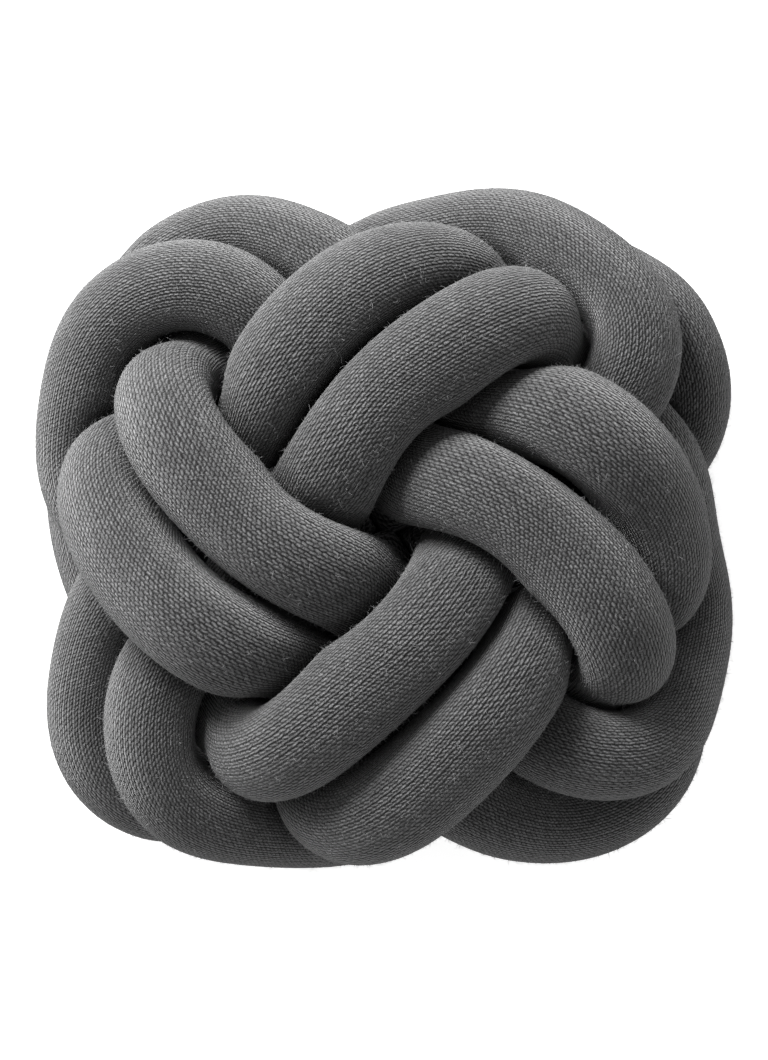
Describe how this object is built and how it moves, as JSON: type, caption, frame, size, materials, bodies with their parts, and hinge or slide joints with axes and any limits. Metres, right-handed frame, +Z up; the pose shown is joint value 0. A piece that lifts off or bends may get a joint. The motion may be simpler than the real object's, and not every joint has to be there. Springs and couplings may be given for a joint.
{
  "type": "knot cushion",
  "caption": "Round knot cushion: one long stuffed knitted tube laid twice round a four-armed ball knot and drawn tight, lying on its back.",
  "frame": {"origin": "centre of the bounding box in plan, at the level that the cushion rests on", "axes": "+Z up out of the knot's face, +Y towards the top of the picture, +X to its right"},
  "size_m": [0.304, 0.2954, 0.15],
  "materials": {
    "wool_knit": "dark grey wool stockinette, melange, slightly hairy"
  },
  "bodies": {
    "root": {"knotted_tube": "wool_knit"}
  },
  "joints": []
}
